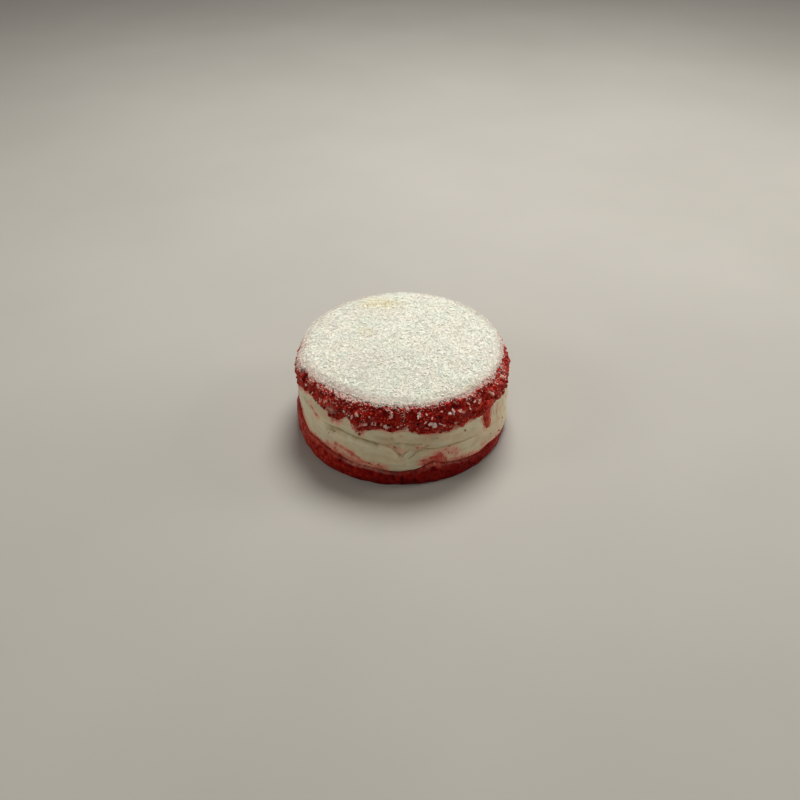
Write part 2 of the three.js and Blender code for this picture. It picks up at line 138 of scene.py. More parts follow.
# Red marks on the cream: a stroke's width and strength, then angle and height of each of its points
SMEARS = [
    (3, 0.7, -172, 25, -164, 21, -156, 17),
    (2, 0.55, -158, 15.4, -149, 13.4, -141, 12.6, -133, 12.4, -125, 12.4),
    (1.6, 0.3, -155, 18.5, -147, 16.4),
    (3.4, 0.5, -131, 14.6, -121, 13.4, -112.5, 10.8, -105, 9.8, -98, 9.6),
    (1.7, 0.74, -125.5, 18, -121, 17, -116.5, 16, -113, 13.4, -109.5, 11.6, -105, 10.8),
    (2, 0.74, -128.6, 13.4, -124.6, 12.2, -119.5, 10.6), (1.6, 0.5, -113, 9.3, -105, 9.6, -99, 9.6),
    (1.2, 0.9, -143.2, 32.8, -141.4, 30.8, -140.2, 29), (2.4, 0.36, -144.6, 33.6, -139.6, 29.6),
    (0.8, 0.35, -148.6, 31.6, -146.7, 30.6), (1.8, 0.5, -168, 33.6, -160, 35, -154, 37.4, -148.5, 38.4),
    (2, 0.66, -126.8, 37.4, -124.6, 36, -122.6, 34.6), (1.4, 0.55, -113.4, 34.2, -108.4, 32.6),
    (3.4, 1.3, -74.4, 15.6, -71, 16.4), (3.8, 1.3, -75.2, 13.8, -70.2, 13.6),
    (1.8, 0.6, -79.4, 12.4, -74.2, 11.4), (3, 0.46, -74, 18.8, -68.4, 19.2, -63.4, 17.6, -61, 14.6),
    (1.4, 0.7, -72.6, 19, -69.4, 17.6), (2, 0.46, -70, 12.4, -63, 12.4, -57, 10.6, -50, 9.8),
    (1, 0.68, -68, 11.4, -62, 11.6, -56, 10.2), (1.6, 0.34, -48, 10, -38, 11, -26, 10),
    (0.7, 0.6, -82.4, 26.1, -79.8, 25.7, -77.5, 26.8), (0.8, 0.38, -93.6, 26.6, -91.6, 23.6, -90, 20.4),
    (1.5, 0.22, -90.6, 25, -89.8, 22.4), (0.7, 0.3, -88.2, 25.2, -87.6, 22.6),
    (1.4, 0.5, -36.6, 33.6, -37.4, 29, -37.8, 25), (1, 0.4, -30.6, 31.5, -31.2, 24.5),
    (1.2, 0.32, -26.6, 24.9, -28.9, 18.5), (1.8, 0.32, -24, 16, -27, 11.5),
    (1.1, 0.42, -45.4, 33.4, -44.4, 28, -43.4, 24), (1.8, 0.36, -44, 23.6, -40, 20.6),
]
HIDDEN_SMEARS = 13

# How strongly the sponges stain the cream's lower and upper rims: angle, width and strength
STAINED_RIM = [
    (-150, 20, 0.72), (-116, 12, 0.55), (-62, 18, 0.55), (-30, 20, 0.45),
    (10, 14, 0.35), (60, 16, 0.55), (110, 14, 0.4), (150, 12, 0.5),
]
STAINED_TOP = [(-138, 26, 0.2), (-84, 16, -0.1)]

# Where the cream is painted browner above the fold, as painted shade, and the angle of its red patch
CREAM_SHADES = [(-92, 20, 0.5), (-128, 10, 0.2)]
RED_PATCH_AT = -74.5

# Where the lower sponge is painted lighter, as painted light, and where cream lies on its ledge: angle,
# width and strength
LOWER_LIGHTS = [(-148, 30, 0.4), (-74, 9, 0.1), (-22, 22, 0.2), (70, 40, 0.15)]
LEDGE_SMEARS = [
    (-146, 14, 0.25), (-109, 15, 0.75), (-66, 12, 0.3), (170, 14, 0.5), (96, 20, 0.6), (44, 12, 0.5),
]

# Where the upper crumb is painted lighter, as painted light, and where loose crumbs reach higher and are
# coarser
UPPER_LIGHTS = [(-42, 22, 0.19), (-14, 16, 0.12), (-163, 22, 0.27), (60, 50, 0.06)]
CRUMBS_RISE = [(-125, 20, 5), (-60, 34, 2.5), (180, 16, -3), (158, 14, -3)]
COARSE_CRUMBS = [(-48, 34, 0.35), (-172, 20, -0.45)]

# The patch where cream is rubbed thickly into the red crumb: angle and height
CREAM_PATCH = (-129, 38.6)

# How far the loose coconut's rim is shifted out, and where the coconut near it is painted darker and
# pinker, partly the red showing through and partly painted shade: angle, width and amount
RIM_SHIFTS = [(-90, 80, -0.4), (-120, 22, -0.6), (168, 15, 1.2)]
PINK_AND_SHADED_SIDES = [(-158, 26, 1), (-112, 24, 1)]

# Thin creases that the palette knife left in the cream: width and depth, then angles and heights
CREASES = [
    (0.5, 0.45, -85.9, 17.9, -84.2, 19, -82.8, 21.4, -81.5, 22.4, -79.7, 22.8),
    (0.6, 0.4, -99.5, 26.6, -93.4, 28.2, -84.2, 27.8, -80, 27.6),
    (2.1, 0.65, -131, 27, -122, 28.8, -114.6, 28.6, -107.5, 27.6, -102, 25.6),
    (0.7, 0.6, -93.6, 26.6, -91.4, 22.8, -89.9, 20), (1.5, 0.35, -91, 25.4, -89.9, 22),
    (0.8, -0.45, -88.3, 20.4, -84.6, 24.4, -79.4, 26.4),
    (0.45, 0.4, -82.4, 26.2, -79.8, 25.8, -76.4, 26.8),
    (0.5, 0.35, -105.6, 27.5, -101.8, 25.2, -99.5, 26.6), (0.5, 0.3, -35.6, 33, -34.6, 26),
    (0.5, 0.3, -30.6, 31, -31.4, 22), (0.9, 0.3, -128, 26.2, -119, 25.2), (0.6, 0.4, 28, 24, 44, 21.5),
    (0.6, 0.45, 70, 25.5, 81, 27, 92, 23.6), (0.7, 0.4, 118, 22, 133, 24.6),
    (0.6, 0.35, 150, 28.6, 163, 30),
]
DIMPLES = [(-87.9, 13.3), (-86, 12.2), (-84.1, 14.1), (-82.6, 12.9), (-81.6, 11.7), (-79.8, 13)]

# Single dark crumbs that stick to the cream: angle, height and size
CREAM_SPECKS = [
    (-56.4, 28.6, 1.1), (-36.7, 14.5, 0.8), (-115, 34.9, 0.8), (-115.5, 36.3, 0.6), (-112.3, 32.4, 0.9),
    (-110.4, 31.5, 1.2), (-93.9, 34.2, 0.6), (-129.5, 23.8, 0.5), (-126.2, 25.8, 0.6),
    (-70.3, 19.4, 0.6), (-67.5, 20.4, 0.5), (-65.2, 21.7, 0.6), (-63.4, 16.1, 0.6), (-71.7, 29.4, 0.4),
    (-88.8, 19.9, 0.7), (-91.8, 25.6, 0.6), (-79.6, 26.1, 0.6), (-46.3, 28.3, 0.4), (-77.9, 29.9, 0.4),
    (-141.2, 30.2, 0.8), (24, 29.5, 0.8), (57, 20.2, 0.7), (88, 26, 0.9), (121, 16.4, 0.8),
    (166, 24.6, 0.7),
]

# Fixed numbers that spread, turn and scale things
GOLDEN_TURN = 137.50776
GOLDEN_RATIO = 0.61803399
FULL_TURN = 6.283
METRE = 1000
MILLIMETRE = 0.001
UP = np.array([0, 0, 1])
SLANT = [0.31, 0.17, 0.93]
SEED = 20


def held(value):
    """A value kept between 0 and 1."""
    return np.clip(value, 0, 1)


def fade(share):
    share = held(share)
    return share * share * (3 - 2 * share)


def smooth(start, end, value):
    return fade((value - start) / (end - start))


def blend(low, high, share):
    return low + (high - low) * share


def joined(*values):
    """Points or triangles from their three numbers, each one value or many."""
    return np.stack(np.broadcast_arrays(*values), -1)


def bell(distance, width):
    """One in the middle, fading to nothing over about twice this width."""
    return np.exp(-((distance / width) ** 2))


def fading(distance, width):
    """One as far as distance 0, fading to nothing past it."""
    return bell(np.maximum(distance, 0), width)


def bulge(height, low, high):
    """One half way between two heights, nothing at both."""
    return np.sin(np.pi * held((height - low) / (high - low)))


def spot(x, y, wide, high):
    """One in the middle of an oval, fading away round it."""
    return np.exp(-((x / wide) ** 2) - (y / high) ** 2)


def turn(start, end):
    """Signed angle from one direction to another, between -180 and 180."""
    return (end - start + 180) % 360 - 180


def hill(feature, angle):
    at, width, rise = feature
    return rise * bell(turn(at, angle), width)


def hills(features, angle):
    return sum(hill(feature, angle) for feature in features)


def scatter(i, j, k):
    """A repeatable number between 0 and 1 for each lattice point."""
    wave = np.sin(i * 127.1 + j * 311.7 + k * 74.7) * 43758.5453
    return wave - np.floor(wave)


def bumps(x, y, z):
    """Smooth bumps between -1 and 1, one in each unit of space."""
    x, y, z = np.broadcast_arrays(x, y, z)
    i, j, k = np.floor(x), np.floor(y), np.floor(z)
    u, v, w = fade(x - i), fade(y - j), fade(z - k)

    def row(dj, dk):
        return blend(scatter(i, j + dj, k + dk), scatter(i + 1, j + dj, k + dk), u)

    def sheet(dk):
        return blend(row(0, dk), row(1, dk), v)

    return blend(sheet(0), sheet(1), w) * 2 - 1


def clumps(x, y, z):
    """Distance to the nearest of one random point in each unit of space."""
    x, y, z = np.broadcast_arrays(x, y, z)
    i, j, k = np.floor(x), np.floor(y), np.floor(z)
    nearest = np.full(x.shape, 9.0)
    for step in np.ndindex(3, 3, 3):
        a, b, c = i + step[0] - 1, j + step[1] - 1, k + step[2] - 1
        across = a + scatter(a, b, c) - x
        along = b + scatter(b, c, a + 5) - y
        above = c + scatter(c, a, b + 9) - z
        nearest = np.minimum(nearest, across**2 + along**2 + above**2)
    return np.sqrt(nearest)


def on_wall(angle, height, size):
    """Where in space the wall's bumps are read, in units of size."""
    start_x, start_y, start_z = BUMPS_START
    x = FOOT_RADIUS * np.cos(np.radians(angle)) / size + start_x
    y = FOOT_RADIUS * np.sin(np.radians(angle)) / size + start_y
    return x, y, height / size + start_z


def wall_bumps(angle, height, *kinds):
    """Bumps of the wall, of one or more kinds, each with a size and a depth."""
    return sum(depth * bumps(*on_wall(angle, height, size)) for size, depth in kinds)


def wall_clumps(angle, height, size):
    return clumps(*on_wall(angle, height, size))


def around(radius, angle, height):
    turned = np.radians(angle)
    return joined(radius * np.cos(turned), radius * np.sin(turned), height)


def shifted(angle, share=1):
    return STACK_SHIFT * share * np.cos(np.radians(angle))


def to_stroke(angle, height, points):
    """Distance in millimetres to a stroke on the wall, rolled out flat."""
    nearest = np.full(np.broadcast(angle, height).shape, 99.0)
    points = list(zip(points[::2], points[1::2]))
    for (a, low), (b, high) in zip(points, points[1:]):
        x = np.radians(turn(a, angle)) * CREAM_RADIUS
        dx = np.radians(turn(a, b)) * CREAM_RADIUS
        dy = high - low
        share = held((x * dx + (height - low) * dy) / (dx * dx + dy * dy))
        nearest = np.minimum(nearest, np.hypot(x - share * dx, height - low - share * dy))
    return nearest


# The surfaces that the solids have too


def lower_edge(angle):
    return LOWER_TOP + hills(LOWER_EDGE, angle) + wall_bumps(angle, LOWER_TOP, EDGE_RIPPLE)


def upper_edge(angle):
    return CREAM_TOP + hills(UPPER_EDGE, angle) + wall_bumps(angle, CREAM_TOP, EDGE_RIPPLE)


def lower_radius(angle, height):
    undercut = 0.4 * (1 - smooth(0, 2, height))
    crags = wall_bumps(angle, height, LOWER_CRAGS, LOWER_WAVES)
    return FOOT_RADIUS - undercut + hills(FOOT_OUTLINE, angle) + crags


def fold_height(angle):
    return FOLD_HEIGHT - FOLD_SLOPE * np.cos(np.radians(angle)) + hill(FOLD_DIP, angle)


def fold_strength(angle):
    return 0.35 + 0.65 * (1 - smooth(30, 75, np.abs(turn(-100, angle))))


def fold_groove(angle, height):
    return bell(height - fold_height(angle) + 0.5, 0.6 + hill((-122, 18, 0.5), angle))


def cream_radius(angle, height):
    """The cream's side. The fold has a sharper lip and groove here than in the solid."""
    fold = fold_height(angle)
    belly = 0.7 * bulge(height, LOWER_TOP, CREAM_TOP)
    overhang = smooth(fold - 0.5, fold + 0.6, height) * (1 - smooth(fold + 1.6, fold + 8, height))
    relief = fold_strength(angle) * (1.2 * overhang - 1.15 * fold_groove(angle, height))
    skirt = hill(SKIRT, angle) * (1 - smooth(6, 20, height))
    bed = hill((TONGUE_AT, 5, -0.7), angle) * smooth(18, 22, height)
    swell = wall_bumps(angle, height, CREAM_SWELL, CREAM_RIPPLE)
    return CREAM_RADIUS + shifted(angle) + belly + relief + skirt + bed + swell


def upper_radius(angle, height):
    belly = 0.6 * bulge(height, CREAM_TOP, UPPER_TOP)
    shoulder_drop = (2.1 - hills(SHOULDER_OUTLINE, angle)) * smooth(39, UPPER_TOP, height) ** 1.6
    outline = shifted(angle) + hills(UPPER_OUTLINE, angle) * smooth(37, 43, height)
    crags = wall_bumps(angle, height, UPPER_CRAGS, UPPER_WAVES)
    return UPPER_RADIUS + outline + belly - shoulder_drop + crags


def dome_height(radius):
    return UPPER_TOP + DOME * (1 - (radius / COCONUT_RADIUS) ** 2)


def coconut_rim(angle):
    frayed = hills(COCONUT_OUTLINE, angle) + wall_bumps(angle, UPPER_TOP, COCONUT_FRAY)
    return COCONUT_RADIUS - 0.6 + shifted(angle, 0.6) + frayed


def to_rim(x, y, rim):
    """The angle of a place on top, and how much of the way to the rim it lies."""
    angle = np.degrees(np.arctan2(y, x))
    return angle, np.hypot(x, y) / rim(angle)


def top_bumps(x, y, kind):
    size, depth = kind
    return depth * bumps(x / size + 8.2, y / size + 3.3, 0.5)


def coconut_height(x, y):
    """The coconut's top. Loose grains fill a part of the hollows between the solid's heaps."""
    angle, share = to_rim(x, y, coconut_rim)
    thinning = smooth(1, 0.88, share)
    heaps = (1 - HEAPS_FILLED) * top_bumps(x, y, COCONUT_HEAPS) + top_bumps(x, y, COCONUT_DRIFT)
    lowest = COCONUT_RIM - hill((-90, 80, 0.5), angle)
    depth = blend(lowest, COCONUT_DEPTH, thinning) + heaps * blend(0.3, 1, thinning)
    return dome_height(np.hypot(x, y)) + GAP + depth


# Fine relief


def lower_relief(angle, height):
    """Soft moist lumps with a few pores."""
    lumps = 0.45 * (0.55 - wall_clumps(angle, height, 2.6))
    pores = -0.5 * smooth(0.34, 0.7, wall_bumps(angle, height * 1.2 + 40, (2.2, 1)))
    return lumps + pores + wall_bumps(angle, height, (1.1, 0.16), (0.55, 0.08))


def upper_relief(angle, height):
    """Open crumb: rounded clumps of two sizes with deep hollows between them."""
    coarse = 1.15 * (0.38 - wall_clumps(angle, height, 2.9))
    fine = 0.55 * (0.5 - wall_clumps(angle, height + 20, 1.35))
    hollows = -1.3 * smooth(0.28, 0.75, wall_bumps(angle, height * 1.3 + 60, (3.1, 1)))
    grit = wall_bumps(angle, height, (0.6, 0.14))
    return coarse + fine + hollows + grit


def cream_relief(angle, height):
    """Long shallow strokes of the palette knife, creases and a few dimples."""
    x, y, _ = on_wall(angle, height, 13)
    strokes = 0.2 * bumps(x, y, (height + 0.1 * turn(-90, angle)) / 1.7)
    fine = 0.07 * bumps(x * 3, y * 3, height / 0.75)
    pits = -0.25 * smooth(0.55, 0.85, wall_bumps(angle, height + 15, (1.6, 1)))
    relief = strokes + fine + pits
    for width, depth, *points in CREASES:
        distance = to_stroke(angle, height, points)
        relief = relief - depth * bell(distance, width)
        relief = relief + 0.35 * depth * bell(distance - 2 * width, width)
    for at, low in DIMPLES:
        x = np.radians(turn(at, angle)) * CREAM_RADIUS
        relief = relief - 0.3 * spot(x, height - low, 0.9, 0.55)
    return relief


# Meshes


def closed_body(rows):
    """Points and faces of a body from rows of points, closed by fans below and above."""
    count, steps = rows.shape[:2]
    middles = [[0, 0, rows[0, :, 2].mean()], [0, 0, rows[-1, :, 2].mean()]]
    points = np.concatenate([rows.reshape(-1, 3), middles])
    step = np.arange(steps)
    ahead = (step + 1) % steps
    row = np.arange(count - 1)[:, None] * steps
    a, b = row + step, row + ahead
    below, last = count * steps, (count - 1) * steps
    faces = [
        joined(a, b, b + steps).reshape(-1, 3), joined(a, b + steps, a + steps).reshape(-1, 3),
        joined(below, ahead, step), joined(below + 1, last + step, last + ahead),
    ]
    return points, np.concatenate(faces)


def add_piece(name, points, faces, look, replaced=(), marks=None, rounded=True):
    """A mesh in metres in the cake's frame. Marks are numbers kept at its points."""
    mesh = bpy.data.meshes.new(name)
    place = (points + np.array(FRAME_SHIFT)) * MILLIMETRE
    mesh.vertices.add(len(place))
    mesh.vertices.foreach_set("co", place.ravel())
    mesh.loops.add(faces.size)
    mesh.loops.foreach_set("vertex_index", faces.ravel().astype(np.int32))
    mesh.polygons.add(len(faces))
    mesh.polygons.foreach_set("loop_start", np.arange(0, faces.size, 3, dtype=np.int32))
    for mark, values in (marks or {}).items():
        layer = mesh.attributes.new(mark, "FLOAT", "POINT")
        layer.data.foreach_set("value", np.asarray(values, dtype=np.float32).ravel())
    mesh.update(calc_edges=True)
    mesh.validate()
    mesh.polygons.foreach_set("use_smooth", np.full(len(mesh.polygons), rounded))
    mesh.materials.append(look)
    piece = link(bpy.data.objects.new(name, mesh))
    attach(piece, "root")
    if replaced:
        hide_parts(*replaced)


def link(piece):
    bpy.context.scene.collection.objects.link(piece)
    return piece


def unit(vectors):
    return vectors / np.linalg.norm(vectors, axis=-1, keepdims=True)


def flat_axes(normals):
    """Two directions that lie across each normal."""
    side = unit(np.cross(normals, SLANT))
    return side, np.cross(normals, side)


def lay(name, look, template, spots, normals, sizes, turns, marks, rounded=False):
    """A piece made of copies of a small shape on a surface, each spun, tipped and rolled."""
    (shape, faces), (spin, lean, roll) = template, turns
    side, ahead = flat_axes(normals)
    cos, sin = np.cos(spin)[:, None], np.sin(spin)[:, None]
    long_axis = cos * side + sin * ahead
    wide_axis = np.cross(normals, long_axis)
    cos, sin = np.cos(lean)[:, None], np.sin(lean)[:, None]
    long_axis, up_axis = cos * long_axis + sin * normals, cos * normals - sin * long_axis
    cos, sin = np.cos(roll)[:, None], np.sin(roll)[:, None]
    wide_axis, up_axis = cos * wide_axis + sin * up_axis, cos * up_axis - sin * wide_axis
    axes = np.stack([long_axis, wide_axis, up_axis], 1)
    points = spots[:, None, :] + np.einsum("nvk,nkc->nvc", shape * sizes[:, None, :], axes)
    count, corners = len(spots), shape.shape[-2]
    faces = faces[None] + np.arange(count)[:, None, None] * corners
    marks = {mark: np.repeat(np.broadcast_to(values, count), corners) for mark, values in marks.items()}
    add_piece(name, points.reshape(-1, 3), faces.reshape(-1, 3), look, (), marks, rounded)


def grain_shape():
    """A three-sided chip, thinner at one end."""
    points = []
    for x, wide in ((-0.5, 1), (0.5, 0.62)):
        points += [(x, -0.5 * wide, -0.35), (x, 0.5 * wide, -0.35), (x, 0, 0.65 * wide)]
    faces = [(0, 1, 2), (3, 5, 4), (0, 3, 4), (0, 4, 1), (1, 4, 5), (1, 5, 2), (2, 5, 3), (2, 3, 0)]
    return np.array(points, dtype=float), np.array(faces)[:, ::-1]


def strip_shape(stations, bow):
    """A thin bowed strip with four sides, narrow at both ends."""
    points, faces = [], []
    for n in range(stations):
        x = n / (stations - 1) - 0.5
        wide = 0.5 * (1 - (2 * abs(x)) ** 2.4 * 0.75)
        rise = bow * (0.25 - x * x) * 4
        low, high = rise - 0.5, rise + 0.5
        points += [(x, -wide, low), (x, wide, low), (x, wide, high), (x, -wide, high)]
        if n:
            for side in range(4):
                a, b = 4 * (n - 1) + side, 4 * (n - 1) + (side + 1) % 4
                faces += [(a, b, b + 4), (a, b + 4, a + 4)]
    last = 4 * (stations - 1)
    faces += [(0, 2, 1), (0, 3, 2), (last, last + 1, last + 2), (last, last + 2, last + 3)]
    return np.array(points), np.array(faces)[:, ::-1]


def ball_shape(cuts):
    """A ball of triangles, from an icosahedron cut finer."""
    golden = (1 + 5**0.5) / 2
    corners = [(-1, golden, 0), (1, golden, 0), (-1, -golden, 0), (1, -golden, 0)]
    corners += [(z, x, y) for x, y, z in corners] + [(y, z, x) for x, y, z in corners]
    points = [tuple(unit(np.array(corner, dtype=float))) for corner in corners]
    faces = []
    for a, b, c in combinations(range(12), 3):
        triangle = np.array([points[a], points[b], points[c]])
        if np.linalg.norm(triangle - np.roll(triangle, 1, 0), axis=1).max() < 1.1:
            faces.append((a, b, c) if np.linalg.det(triangle) > 0 else (a, c, b))
    for _ in range(cuts):
        points, faces = cut_finer(points, faces)
    return np.array(points) * 0.5, np.array(faces)


def cut_finer(points, faces):
    points, made, finer = list(points), {}, []

    def middle(a, b):
        key = (min(a, b), max(a, b))
        if key not in made:
            points.append(tuple(unit((np.array(points[a]) + np.array(points[b])) / 2)))
            made[key] = len(points) - 1
        return made[key]

    for a, b, c in faces:
        ab, bc, ca = middle(a, b), middle(b, c), middle(c, a)
        finer += [(a, ab, ca), (ab, b, bc), (ca, bc, c), (ab, bc, ca)]
    return points, finer


class Draws:
    """Random numbers for a count of small things, always the same from the same seed."""

    def __init__(self, seed, count):
        self.random = np.random.default_rng(seed)
        self.count = count

    def share(self, power=1, *across):
        return self.random.random((self.count, *across)) ** power

    def between(self, low, high, power=1, *across):
        return blend(low, high, self.share(power, *across))

    def spread(self, width):
        return self.random.normal(0, width, self.count)

    def directions(self):
        return self.share() * 360 - 180

    def sizes(self, *ranges):
        """Length, width and thickness, each between two values."""
        return np.column_stack([self.between(*each) for each in ranges])

    def lying(self, lean, roll):
        """Any spin, with a lean and a roll about as large as these."""
        return self.share() * FULL_TURN, self.spread(lean), self.spread(roll)

    def tumbled(self):
        return self.random.random((3, self.count)) * FULL_TURN

    def balls(self, cuts, amount):
        """A ball for each, with every corner moved in or out a little."""
        shape, faces = ball_shape(cuts)
        return shape * (1 + amount * (2 * self.share(1, len(shape), 1) - 1)), faces


# Materials


class Look:
    """A procedural material on one Principled shader, with short ways to add its nodes."""

    def __init__(self, name, **sockets):
        self.material = bpy.data.materials.new(name)
        self.material.use_nodes = True
        self.tree = self.material.node_tree
        self.shader = self.tree.nodes["Principled BSDF"]
        for socket, value in sockets.items():
            self.shader.inputs[socket.replace("_", " ")].default_value = value

    def node(self, kind, inputs=None, **settings):
        made = self.tree.nodes.new("ShaderNode" + kind)
        for key, value in settings.items():
            setattr(made, key, value)
        for socket, value in (inputs or {}).items():
            if isinstance(value, bpy.types.NodeSocket):
                self.tree.links.new(value, made.inputs[socket])
            else:
                made.inputs[socket].default_value = value
        return made

    def noise(self, size, detail=3, roughness=0.55, distortion=0):
        """Noise whose lumps are about this many millimetres."""
        inputs = {
            "Vector": self.node("TexCoord").outputs["Object"], "Scale": METRE / size,
            "Detail": detail, "Roughness": roughness, "Distortion": distortion,
        }
        return self.node("TexNoise", inputs).outputs["Fac"]

    def mark(self, name):
        return self.node("Attribute", attribute_name=name).outputs["Fac"]

    def math(self, operation, a, b=0, c=0):
        return self.node("Math", {0: a, 1: b, 2: c}, operation=operation).outputs[0]

    def wobbled(self, value, noise, amount):
        """A value moved up and down by noise."""
        return self.math("MULTIPLY_ADD", self.math("SUBTRACT", noise, 0.5), amount, value)

    def ramp(self, value, stops):
        made = self.node("ValToRGB", {"Fac": value})
        elements = made.color_ramp.elements
        while len(elements) < len(stops):
            elements.new(0.5)
        for element, (position, colour) in zip(elements, stops):
            element.position = position
            element.color = (*colour, 1)
        return made.outputs["Color"]

    def levels(self, value, stops):
        """A ramp of greys, used as a number."""
        return self.ramp(value, [(position, (level,) * 3) for position, level in stops])

    def mix(self, share, first, second, way="MIX"):
        inputs = {"Factor": share, 6: first, 7: second}
        return self.node("Mix", inputs, data_type="RGBA", blend_type=way).outputs[2]

    def set(self, socket, value):
        self.tree.links.new(value, self.shader.inputs[socket])

    def bump(self, height, strength, distance):
        """Bump of this many millimetres."""
        inputs = {"Height": height, "Strength": strength, "Distance": distance / METRE}
        self.set("Normal", self.node("Bump", inputs).outputs["Normal"])


def sponge_look(name, reds, shine=0.1, roughness=0.38):
    """Moist red crumb, painted dark in its hollows and light on its lumps: painted shade and light."""
    look = Look(name, Roughness=roughness, Specular_IOR_Level=shine, Subsurface_Weight=0.12,
                Subsurface_Scale=0.0012, Subsurface_Radius=(1, 0.05, 0.03))
    value = look.wobbled(look.mark("relief"), look.noise(1.3, 5, 0.65), 0.75)
    value = look.wobbled(value, look.noise(9, 2), 0.35)
    patchy = look.levels(look.noise(1.1, 4), [(0.36, 0.35), (0.62, 1)])
    smeared = look.math("MULTIPLY", look.mark("smear"), patchy)
    look.set("Base Color", look.mix(smeared, look.ramp(value, reds), RUBBED_CREAM))
    look.bump(look.noise(0.55, 4, 0.7), 0.8, 0.25)
    return look.material


def cream_look():
    look = Look("cream_filling_look", Roughness=0.42, Specular_IOR_Level=0.45, Subsurface_Weight=0.2,
                Subsurface_Scale=0.002, Subsurface_Radius=(1, 0.8, 0.5))
    tone_with_shading = look.wobbled(look.noise(5, 3), look.noise(1.6, 4), 0.5)
    # Through the relief mark the cream's hollows are darker: painted shade.
    tone_with_shading = look.math("MULTIPLY_ADD", look.mark("relief"), 0.5, look.math("MULTIPLY", tone_with_shading, 0.5))
    drift = look.levels(look.noise(12, 2), [(0.4, 0), (0.6, 1)])
    ivory = look.mix(drift, look.ramp(tone_with_shading, WARM_CREAMS), look.ramp(tone_with_shading, COOL_CREAMS))
    stain = look.wobbled(look.mark("stain"), look.noise(1.3, 5, 0.7, 0.4), 0.42)
    stained = look.math("MINIMUM", look.math("MULTIPLY", look.mark("stain"), 6), 1)
    stain = look.math("MULTIPLY", stain, stained)
    cover = look.levels(stain, [(0.04, 0), (0.22, 0.8), (0.4, 1)])
    # The shade mark mixes in painted shade.
    shaded = look.mix(look.mark("shade"), ivory, PAINTED_SHADE_CREAM)
    look.set("Base Color", look.mix(cover, shaded, look.ramp(stain, STAINS)))
    look.bump(look.noise(1, 4, 0.6), 0.35, 0.15)
    return look.material


def coconut_look(name, stops):
    """Dry white flesh. Each grain has its own tint, and a few patches are yellower."""
    look = Look(name, Roughness=0.78, Specular_IOR_Level=0.35, Subsurface_Weight=0.5,
                Subsurface_Scale=0.0012, Subsurface_Radius=(1, 0.9, 0.75))
    tint = look.wobbled(look.mark("tint"), look.noise(1.4, 3), 0.3)
    warmth = look.ramp(look.noise(11, 3), [(0.38, (1, 0.975, 0.955)), (0.62, (0.97, 0.995, 0.97))])
    white = look.mix(1, look.ramp(tint, stops), warmth, "MULTIPLY")
    yellowed = look.math("MULTIPLY", look.mark("yellow"), look.noise(5, 3))
    toasted = look.mix(yellowed, white, TOASTED_COCONUT)
    # The rosy mark is the red between the grains, and partly painted shade near the rim.
    look.set("Base Color", look.mix(look.mark("rosy_and_shade"), toasted, ROSY_SHADE_COCONUT))
    look.bump(look.noise(0.4, 3), 0.3, 0.06)
    return look.material


def floor_look():
    look = Look("floor_look", Roughness=0.85)
    greys = [(0.3, (0.42, 0.405, 0.375)), (0.7, (0.455, 0.44, 0.41))]
    look.set("Base Color", look.ramp(look.noise(220, 3), greys))
    return look.material


# Colours, and ramps of them from dark or weak to light or strong
RUBBED_CREAM = (0.88, 0.54, 0.42, 1)
# Brown used as painted shade on the cream
PAINTED_SHADE_CREAM = (0.5, 0.37, 0.2, 1)
TOASTED_COCONUT = (0.8, 0.7, 0.4, 1)
# Dark pink for red showing between the grains, also used as painted shade near the rim
ROSY_SHADE_COCONUT = (0.56, 0.2, 0.18, 1)
FRESH_REDS = [
    (0, (0.11, 0.0004, 0.0004)), (0.35, (0.28, 0.0025, 0.001)),
    (0.68, (0.51, 0.014, 0.005)), (1, (0.86, 0.09, 0.035)),
]
# A darker copy of the sponge reds for the lower layer: painted shade.
SHADED_REDS = [
    (0, (0.06, 0.0004, 0.0004)), (0.35, (0.19, 0.0015, 0.0008)),
    (0.68, (0.36, 0.009, 0.004)), (1, (0.62, 0.07, 0.035)),
]
WET_REDS = [(0, (0.28, 0.003, 0.001)), (0.45, (0.56, 0.018, 0.005)), (1, (0.84, 0.13, 0.04))]
WARM_CREAMS = [(0.2, (0.46, 0.32, 0.15)), (0.4, (0.72, 0.57, 0.36)), (0.66, (0.85, 0.71, 0.49))]
COOL_CREAMS = [(0.2, (0.48, 0.39, 0.2)), (0.4, (0.71, 0.63, 0.42)), (0.66, (0.83, 0.77, 0.56))]
STAINS = [
    (0.1, (0.88, 0.56, 0.37)), (0.3, (0.84, 0.42, 0.29)), (0.5, (0.72, 0.25, 0.17)),
    (0.74, (0.68, 0.13, 0.078)), (1, (0.68, 0.055, 0.032)),
]
WHITES = [(0, (0.78, 0.74, 0.62)), (0.25, (0.85, 0.84, 0.745)), (0.8, (0.885, 0.888, 0.808))]
PINKS = [
    (0, (0.46, 0.03, 0.015)), (0.3, (0.7, 0.15, 0.1)), (0.5, (0.88, 0.32, 0.26)),
    (0.7, (0.98, 0.5, 0.43)), (0.85, (1, 0.66, 0.58)), (1, (0.92, 0.88, 0.79)),
]


# The layers


ROUND = np.arange(AROUND) * 360 / AROUND


def heights(low, high, rows):
    return blend(low, high, np.linspace(0, 1, rows)[:, None])


def stacked(*parts):
    """Rows of points round the cake, from the radius and the height of one row or of many."""
    rows = [around(radius, ROUND, height).reshape(-1, AROUND, 3) for radius, height in parts]
    return np.concatenate(rows)


def add_layer(name, look, node, rows, before, marks):
    """A closed body. Its marks are known on its side and spread to the other rows."""
    points, faces = closed_body(rows)
    whole = {}
    for mark, values in marks.items():
        after = len(rows) - before - len(values)
        padded = np.pad(values, ((before, after), (0, 0)), "edge")
        whole[mark] = np.append(padded, [values.mean(), values.mean()])
    add_piece(name, points, faces, look, [node], whole)


